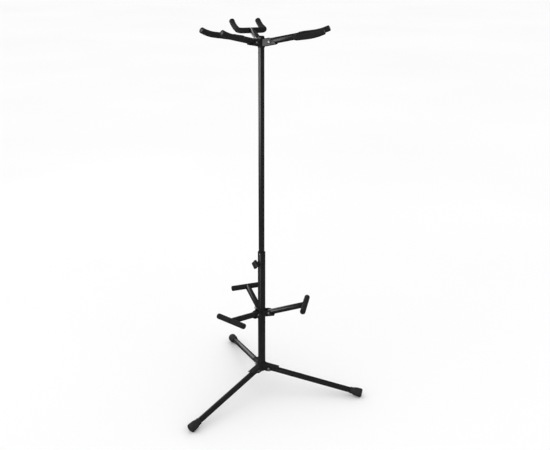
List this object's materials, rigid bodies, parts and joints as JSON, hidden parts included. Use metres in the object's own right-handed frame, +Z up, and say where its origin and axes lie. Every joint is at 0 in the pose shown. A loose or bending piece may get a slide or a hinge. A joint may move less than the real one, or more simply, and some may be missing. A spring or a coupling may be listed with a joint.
{
  "type": "guitar rack",
  "caption": "Free-standing folding rack that holds guitars upright: tripod base, telescopic mast, padded body cradles and padded neck yokes.",
  "frame": {"origin": "the point on the floor directly under the mast's axis", "axes": "+Z up along the mast; +Y towards the back leg and cradle; the other legs lie 120 degrees to either side"},
  "size_m": [0.619, 0.5385, 1.2445],
  "materials": {
    "black_steel": "semi-gloss black powder coat",
    "plastic": "moulded black plastic",
    "rubber": "matte dark grey rubber",
    "foam": "closed-cell charcoal foam rubber",
    "zinc": "bright zinc-plated steel"
  },
  "bodies": {
    "lower_mast": {"outer_tube": "black_steel", "base_hub": "black_steel", "base_plug": "plastic", "leg_pivot_bolts": "zinc", "leg_pivot_nuts": "zinc", "cradle_collar": "black_steel", "cradle_pivot_bolts": "zinc", "cradle_pivot_nuts": "zinc", "tube_bush": "plastic", "bush_rivet": "zinc", "clamp_boss": "black_steel"},
    "clamp_screw": {"clamp_screw": "zinc"},
    "clamp_knob": {"clamp_knob": "plastic"},
    "mast_glide": {"mast_glide": "plastic"},
    "upper_mast": {"inner_tube": "black_steel", "top_hub": "black_steel", "top_cap": "plastic", "yoke_pivot_bolts": "zinc", "yoke_pivot_nuts": "zinc"},
    "leg_back": {"leg_tube_back": "black_steel", "foot_back": "rubber"},
    "cradle_back": {"cradle_arm_back": "black_steel", "cradle_bar_back": "black_steel", "cradle_pad_back_a": "foam", "cradle_pad_back_b": "foam"},
    "yoke_back": {"yoke_arm_back": "black_steel", "yoke_fork_back": "black_steel", "yoke_pad_back_a": "foam", "yoke_pad_back_b": "foam", "yoke_tips_back": "plastic"},
    "leg_left": {"leg_tube_left": "black_steel", "foot_left": "rubber"},
    "cradle_left": {"cradle_arm_left": "black_steel", "cradle_bar_left": "black_steel", "cradle_pad_left_a": "foam", "cradle_pad_left_b": "foam"},
    "yoke_left": {"yoke_arm_left": "black_steel", "yoke_fork_left": "black_steel", "yoke_pad_left_a": "foam", "yoke_pad_left_b": "foam", "yoke_tips_left": "plastic"},
    "leg_right": {"leg_tube_right": "black_steel", "foot_right": "rubber"},
    "cradle_right": {"cradle_arm_right": "black_steel", "cradle_bar_right": "black_steel", "cradle_pad_right_a": "foam", "cradle_pad_right_b": "foam"},
    "yoke_right": {"yoke_arm_right": "black_steel", "yoke_fork_right": "black_steel", "yoke_pad_right_a": "foam", "yoke_pad_right_b": "foam", "yoke_tips_right": "plastic"}
  },
  "joints": [
    {"name": "leg_back_fold", "type": "hinge", "parent": "lower_mast", "child": "leg_back", "pos_m": [0, 0.0275, 0.08045], "axis": [-1, 0, 0], "range_deg": [0, 78]},
    {"name": "leg_left_fold", "type": "hinge", "parent": "lower_mast", "child": "leg_left", "pos_m": [-0.02382, -0.01375, 0.08045], "axis": [0.5, -0.866, 0], "range_deg": [0, 78]},
    {"name": "leg_right_fold", "type": "hinge", "parent": "lower_mast", "child": "leg_right", "pos_m": [0.02382, -0.01375, 0.08045], "axis": [0.5, 0.866, 0], "range_deg": [0, 78]},
    {"name": "cradle_back_fold", "type": "hinge", "parent": "lower_mast", "child": "cradle_back", "pos_m": [0, 0.0275, 0.2955], "axis": [1, 0, 0], "range_deg": [-1.5, 67]},
    {"name": "cradle_left_fold", "type": "hinge", "parent": "lower_mast", "child": "cradle_left", "pos_m": [-0.02382, -0.01375, 0.2955], "axis": [-0.5, 0.866, 0], "range_deg": [0, 68.5]},
    {"name": "cradle_right_fold", "type": "hinge", "parent": "lower_mast", "child": "cradle_right", "pos_m": [0.02382, -0.01375, 0.2955], "axis": [-0.5, -0.866, 0], "range_deg": [-7.5, 61]},
    {"name": "clamp_screw_travel", "type": "slide", "parent": "lower_mast", "child": "clamp_screw", "axis": [-0.9659, -0.2588, 0], "range_m": [0, 0.0038]},
    {"name": "clamp_knob_turn", "type": "hinge", "parent": "clamp_screw", "child": "clamp_knob", "pos_m": [0, 0, 0.474], "axis": [-0.9659, -0.2588, 0], "range_deg": [0, 1080]},
    {"name": "mast_height", "type": "slide", "parent": "lower_mast", "child": "mast_glide", "axis": [0, 0, 1], "range_m": [-0.26, 0.08]},
    {"name": "mast_turn", "type": "hinge", "parent": "mast_glide", "child": "upper_mast", "pos_m": [0, 0, 0.5], "axis": [0, 0, 1], "continuous": true},
    {"name": "yoke_back_fold", "type": "hinge", "parent": "upper_mast", "child": "yoke_back", "pos_m": [0.00192, 0.02743, 1.1925], "axis": [0.9976, -0.0698, 0], "range_deg": [0, 70]},
    {"name": "yoke_left_fold", "type": "hinge", "parent": "upper_mast", "child": "yoke_left", "pos_m": [-0.02472, -0.01205, 1.1925], "axis": [-0.4384, 0.8988, 0], "range_deg": [-2, 68]},
    {"name": "yoke_right_fold", "type": "hinge", "parent": "upper_mast", "child": "yoke_right", "pos_m": [0.0228, -0.01538, 1.1925], "axis": [-0.5592, -0.829, 0], "range_deg": [-0.5, 69.5]}
  ],
  "couplings": [
    {"joint": "clamp_screw_travel", "follows": "clamp_knob_turn", "m_per_rad": 0.00019894}
  ]
}
